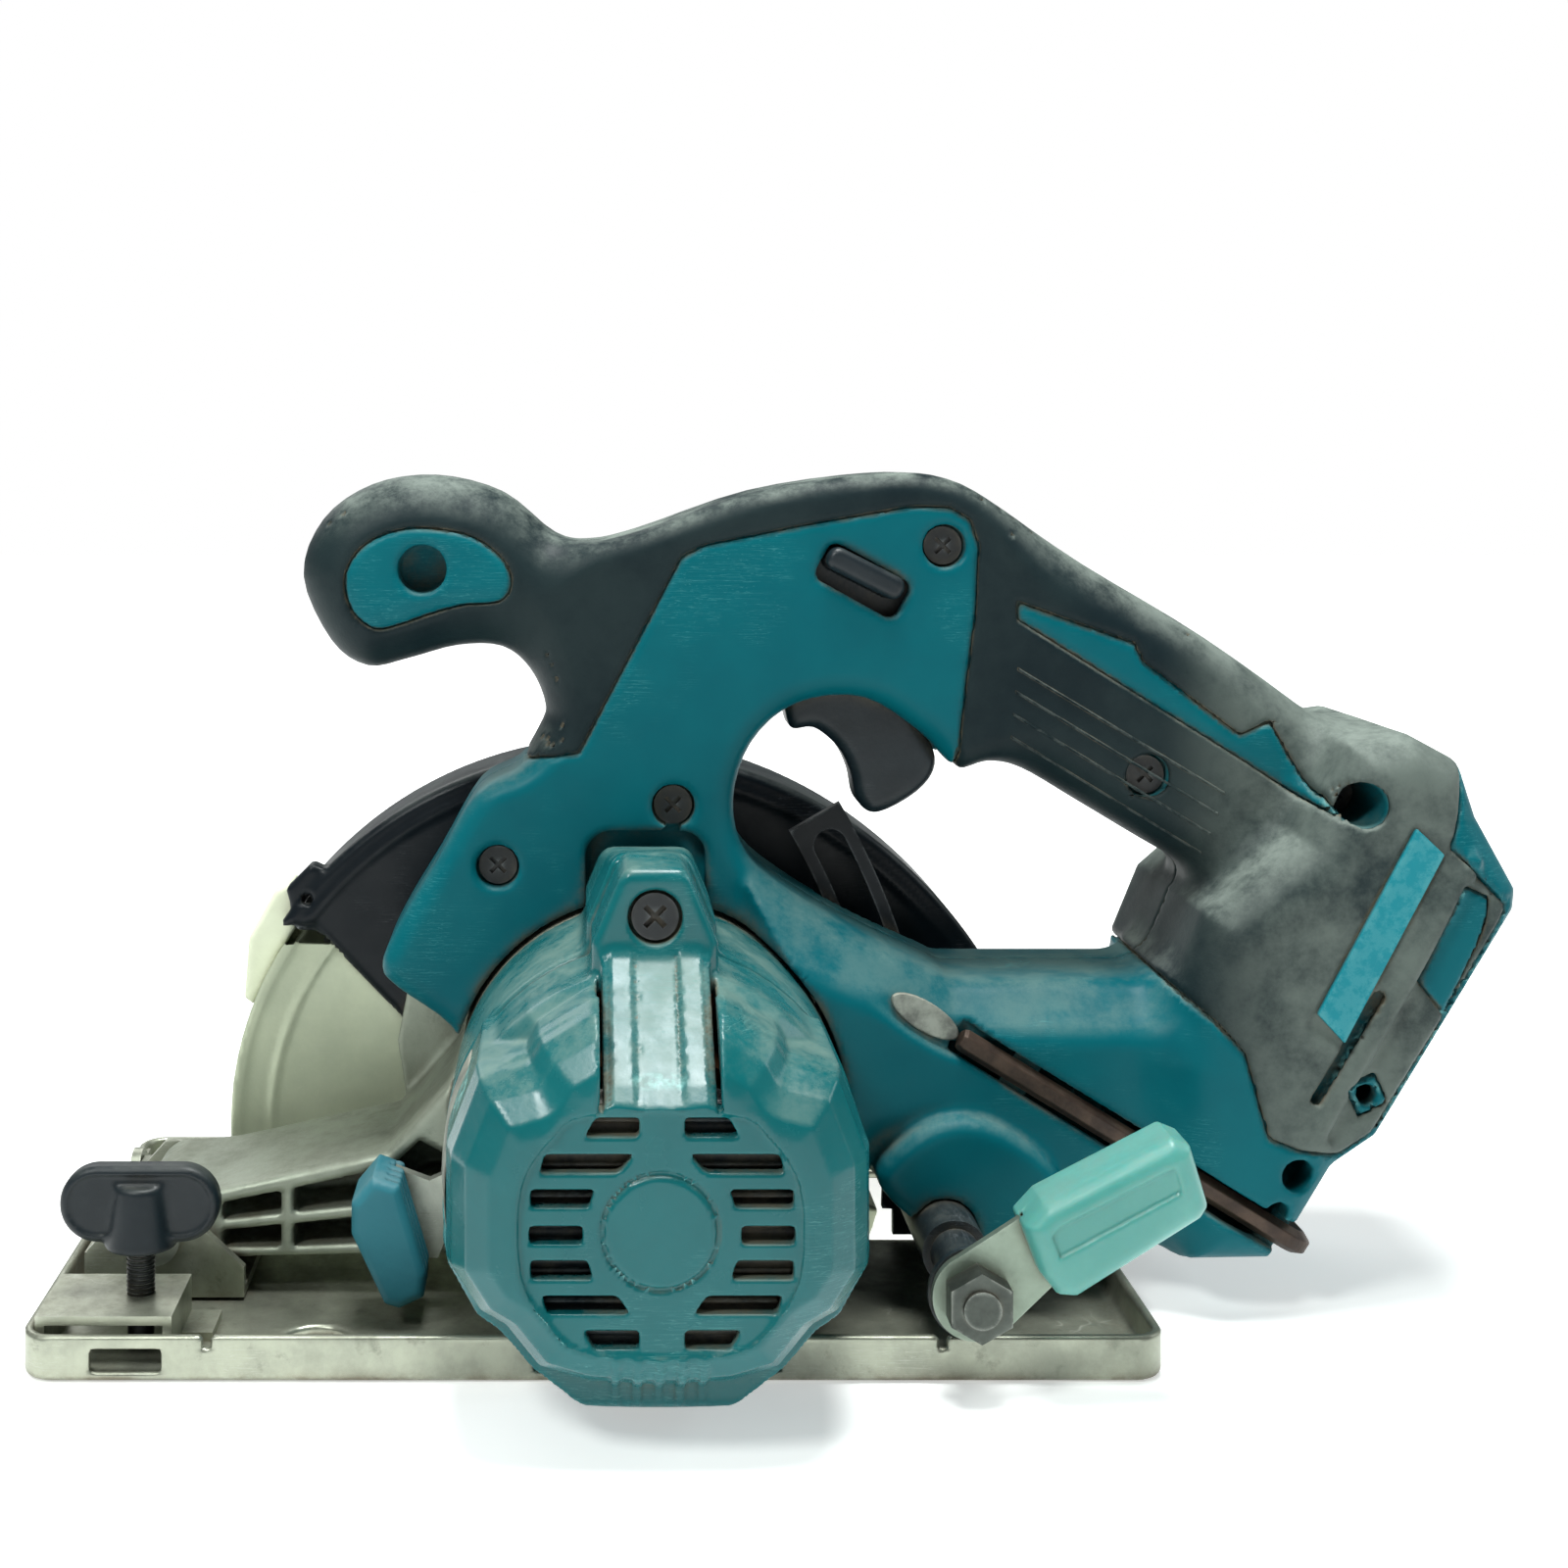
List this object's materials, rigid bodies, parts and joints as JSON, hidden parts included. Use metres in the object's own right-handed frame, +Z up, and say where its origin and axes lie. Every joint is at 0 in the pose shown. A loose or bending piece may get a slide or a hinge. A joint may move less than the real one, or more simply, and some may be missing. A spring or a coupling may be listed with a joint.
{
  "type": "circular saw",
  "caption": "Cordless circular saw on a tilting base, with depth and bevel pivots, geared blade spindle, sprung lower guard, levers and trigger.",
  "frame": {"origin": "centre of the sole, on the sole plane", "axes": "+X to the rear of the saw, +Y to the blade side, +Z up"},
  "size_m": [0.3423, 0.185, 0.2586],
  "materials": {
    "teal_plastic": "moulded teal plastic, semi-gloss, scuffed and dusty",
    "dark_rubber": "matte dark grey soft-touch overmould",
    "black_plastic": "black moulded plastic",
    "guard_black": "black satin coating, rubbed at the rim",
    "cast_aluminium": "unpainted die casting, dull and dusty",
    "guard_aluminium": "satin, dusty",
    "lip_cream": "cream, worn",
    "nickel_sheet": "nickel plated pressed steel, stained",
    "zinc_steel": "zinc plated steel",
    "black_steel": "black oxide steel",
    "tool_steel": "dark rusty key steel",
    "blade_steel": "ground steel",
    "lever_grip": "translucent light teal rubber, moulded ribs",
    "pad_blue": "blue-teal rubber pad",
    "copper": "enamelled copper windings on laminations",
    "iron": "laminated iron",
    "board_green": "coated circuit board",
    "lamp_clear": "clear lamp lens"
  },
  "bodies": {
    "base": {"base_plate": "nickel_sheet", "fence_bracket": "nickel_sheet", "front_pivot_bracket": "nickel_sheet", "rear_quadrant": "nickel_sheet", "base_rivets": "zinc_steel"},
    "fence_screw": {"fence_knob": "black_plastic", "fence_stud": "black_steel"},
    "bevel_frame": {"front_hinge_bracket": "nickel_sheet", "depth_pivot_pin": "zinc_steel", "depth_guide": "black_steel", "rear_tilt_bracket": "nickel_sheet", "bevel_pins": "zinc_steel", "bevel_bolt": "zinc_steel"},
    "bevel_lock": {"bevel_lever": "black_plastic"},
    "saw_body": {"gear_housing": "cast_aluminium", "upper_guard": "guard_black", "motor_housing": "teal_plastic", "motor_end_cap": "teal_plastic", "shell_left": "teal_plastic", "shell_right": "teal_plastic", "overmould_left": "dark_rubber", "overmould_right": "dark_rubber", "stator": "copper", "controller_board": "board_green", "switch_module": "black_plastic", "terminal_block": "black_plastic", "housing_screws": "black_steel", "cap_screws": "black_steel", "guard_screws": "black_steel", "motor_bearings": "zinc_steel", "spindle_bearings": "zinc_steel", "work_lamp": "lamp_clear", "depth_bolt": "zinc_steel", "depth_sleeve": "black_plastic", "guard_spring": "zinc_steel", "wrench_clips": "teal_plastic"},
    "depth_lock": {"depth_nut": "zinc_steel", "depth_washer": "black_plastic", "depth_lever_arm": "zinc_steel", "depth_lever_grip": "lever_grip"},
    "spindle_set": {"spindle": "zinc_steel", "drive_gear": "zinc_steel", "inner_flange": "zinc_steel", "saw_blade": "blade_steel", "outer_flange": "zinc_steel", "blade_bolt": "zinc_steel"},
    "rotor": {"rotor_shaft": "zinc_steel", "rotor_core": "iron", "cooling_fan": "black_plastic"},
    "guard": {"lower_guard": "guard_aluminium", "guard_hub": "zinc_steel", "guard_lip": "lip_cream"},
    "shaft_lock": {"shaft_lock_arm": "zinc_steel", "shaft_lock_pad": "pad_blue"},
    "trigger_body": {"trigger": "black_plastic"},
    "lock_off": {"lock_off_lever": "black_plastic"},
    "wrench": {"hex_wrench": "tool_steel"}
  },
  "joints": [
    {"name": "bevel", "type": "hinge", "parent": "base", "child": "bevel_frame", "pos_m": [0, 0.042, 0.009], "axis": [-1, 0, 0], "range_deg": [0, 50]},
    {"name": "depth", "type": "hinge", "parent": "bevel_frame", "child": "saw_body", "pos_m": [-0.103, 0, 0.017], "axis": [0, -1, 0], "range_deg": [0, 26]},
    {"name": "fence_turn", "type": "hinge", "parent": "base", "child": "fence_screw", "pos_m": [-0.102, -0.051, 0.03], "axis": [0, 0, 1], "continuous": true},
    {"name": "bevel_lever_turn", "type": "hinge", "parent": "bevel_frame", "child": "bevel_lock", "pos_m": [0.118, 0.0269, 0.0417], "axis": [1, 0, 0], "range_deg": [-15, 30]},
    {"name": "depth_lever_turn", "type": "hinge", "parent": "saw_body", "child": "depth_lock", "pos_m": [0.0818, -0.078, 0.0216], "axis": [0, -1, 0], "range_deg": [0, 45]},
    {"name": "spindle_spin", "type": "hinge", "parent": "saw_body", "child": "spindle_set", "pos_m": [-0.008, 0.042, 0.0255], "axis": [0, 1, 0], "continuous": true},
    {"name": "rotor_spin", "type": "hinge", "parent": "saw_body", "child": "rotor", "pos_m": [0.013, -0.06, 0.0483], "axis": [0, 1, 0], "continuous": true},
    {"name": "guard_turn", "type": "hinge", "parent": "saw_body", "child": "guard", "pos_m": [-0.008, 0.042, 0.0255], "axis": [0, -1, 0], "range_deg": [0, 150], "stiffness_Nm_per_rad": 0.05, "springref_deg": -85.94},
    {"name": "shaft_lock_press", "type": "hinge", "parent": "saw_body", "child": "shaft_lock", "pos_m": [-0.034, -0.032, 0.026], "axis": [0, 1, 0], "range_deg": [0, 12], "stiffness_Nm_per_rad": 0.2, "springref_deg": -17.19},
    {"name": "trigger_pull", "type": "hinge", "parent": "saw_body", "child": "trigger_body", "pos_m": [0.052, 0, 0.14], "axis": [0, -1, 0], "range_deg": [0, 9], "stiffness_Nm_per_rad": 0.5, "springref_deg": -17.19},
    {"name": "lock_off_press", "type": "slide", "parent": "saw_body", "child": "lock_off", "axis": [-0.446, 0, -0.895], "range_m": [0, 0.002], "stiffness_N_per_m": 300, "springref_m": -0.003},
    {"name": "wrench_pull", "type": "slide", "parent": "saw_body", "child": "wrench", "axis": [0.8536, 0, -0.521], "range_m": [0, 0.06]}
  ],
  "couplings": [
    {"joint": "rotor_spin", "follows": "spindle_spin", "ratio": -2.875}
  ]
}
